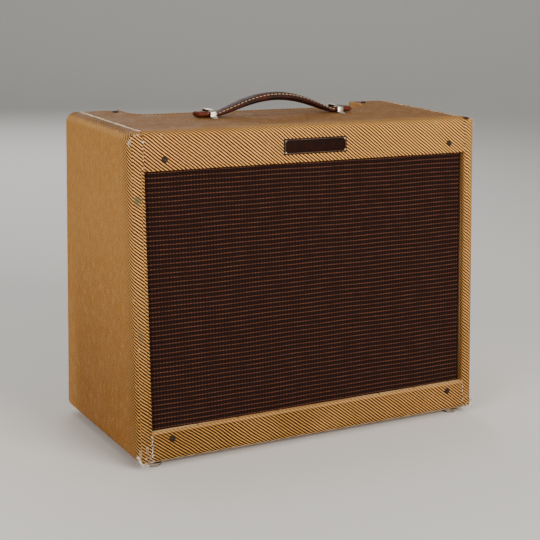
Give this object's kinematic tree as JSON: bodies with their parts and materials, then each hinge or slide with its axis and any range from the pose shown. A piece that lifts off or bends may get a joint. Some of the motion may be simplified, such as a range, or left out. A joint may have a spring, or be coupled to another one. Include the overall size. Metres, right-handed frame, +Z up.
{
  "type": "guitar amplifier",
  "caption": "Tweed-covered combo guitar amplifier with a slanted grille front, leather strap handle, open-backed loudspeaker and a valve chassis with controls on top at the rear.",
  "frame": {"origin": "on the floor, under the middle of the cabinet footprint", "axes": "+Z up, +X to the right seen from the front, -Y is the front with the grille"},
  "size_m": [0.508, 0.2398, 0.4395],
  "materials": {
    "pine": "unfinished, aged",
    "tweed": "lacquered diagonal twill",
    "plywood": "unfinished",
    "grille": "woven, thin horizontal ribs",
    "dark_steel": "oxidised",
    "zinc": "zinc plate",
    "nickel": "worn nickel plate",
    "leather": "waxed",
    "nameplate": "dark patina",
    "chrome": "bright plate",
    "fibre": "waxed",
    "wax_parts": "waxed paper",
    "phenolic": "moulded",
    "tube_glass": "clear",
    "black_paint": "semi gloss",
    "jewel": "faceted",
    "knob": "polished",
    "basket": "grey paint",
    "magnet": "semi gloss",
    "cone_paper": "felted paper",
    "spider_cloth": "resin dipped",
    "copper": "wound wire",
    "cable": "cloth braid",
    "cord": "aged rubber"
  },
  "bodies": {
    "amp": {"left_side_board": "pine", "right_side_board": "pine", "top_board": "pine", "bottom_board": "pine", "front_top_rail": "pine", "front_bottom_rail": "pine", "back_cleats": "pine", "tweed_left": "tweed", "tweed_right": "tweed", "tweed_top": "tweed", "tweed_bottom": "tweed", "baffle_board": "plywood", "grille_cloth": "grille", "baffle_screws": "dark_steel", "baffle_nuts": "zinc", "nameplate": "nameplate", "nameplate_nails": "nickel", "upper_back_panel": "tweed", "lower_back_panel": "tweed", "back_panel_screws": "nickel", "glide_feet": "nickel", "handle_loops": "nickel", "handle_loop_screws": "nickel", "chassis": "chrome", "chassis_screws": "dark_steel", "eyelet_board": "fibre", "board_parts": "wax_parts", "tube_sockets": "phenolic", "rectifier_tube": "tube_glass", "power_tubes": "tube_glass", "preamp_tubes": "tube_glass", "power_transformer": "black_paint", "output_transformer": "black_paint", "input_jacks": "nickel", "panel_nuts": "nickel", "pots": "zinc", "pilot_lamp": "nickel", "pilot_jewel": "jewel", "toggle_switches": "zinc", "fuse_holder": "phenolic", "speaker_basket": "basket", "speaker_magnet": "magnet", "speaker_spider": "spider_cloth", "speaker_surround": "cone_paper", "speaker_bolts": "zinc", "speaker_lead": "cable", "power_cord": "cord"},
    "handle": {"handle_strap": "leather"},
    "power_lever": {"power_toggle": "nickel"},
    "ground_lever": {"ground_toggle": "nickel"},
    "fuse": {"fuse": "tube_glass"},
    "fuse_cap": {"fuse_cap": "phenolic"},
    "tone": {"shaft_tone": "zinc", "knob_tone": "knob"},
    "volume_1": {"shaft_volume_1": "zinc", "knob_volume_1": "knob"},
    "volume_2": {"shaft_volume_2": "zinc", "knob_volume_2": "knob"},
    "cone": {"speaker_cone": "cone_paper", "voice_coil": "copper"}
  },
  "joints": [
    {"name": "volume_1_turn", "type": "hinge", "parent": "amp", "child": "volume_1", "pos_m": [-0.046, 0.08775, 0.38418], "axis": [0, -0.342, -0.9397], "range_deg": [-150, 150]},
    {"name": "volume_2_turn", "type": "hinge", "parent": "amp", "child": "volume_2", "pos_m": [-0.004, 0.08775, 0.38418], "axis": [0, -0.342, -0.9397], "range_deg": [-150, 150]},
    {"name": "tone_turn", "type": "hinge", "parent": "amp", "child": "tone", "pos_m": [0.038, 0.08775, 0.38418], "axis": [0, -0.342, -0.9397], "range_deg": [-150, 150]},
    {"name": "power_throw", "type": "hinge", "parent": "amp", "child": "power_lever", "pos_m": [0.106, 0.08621, 0.37995], "axis": [-1, 0, 0], "range_deg": [0, 24]},
    {"name": "ground_throw", "type": "hinge", "parent": "amp", "child": "ground_lever", "pos_m": [0.16, 0.08621, 0.37995], "axis": [-1, 0, 0], "range_deg": [0, 24]},
    {"name": "fuse_pull", "type": "slide", "parent": "amp", "child": "fuse", "axis": [0, 0.342, 0.9397], "range_m": [0, 0.042]},
    {"name": "fuse_cap_turn", "type": "hinge", "parent": "fuse", "child": "fuse_cap", "pos_m": [0.132, 0.08775, 0.38418], "axis": [0, 0.342, 0.9397], "range_deg": [-90, 0]},
    {"name": "cone_travel", "type": "slide", "parent": "amp", "child": "cone", "axis": [0, 0.9963, -0.0863], "range_m": [-0.003, 0.003]},
    {"name": "handle_lift", "type": "slide", "parent": "amp", "child": "handle", "axis": [0, 0, 1], "range_m": [0, 0.0022]}
  ]
}
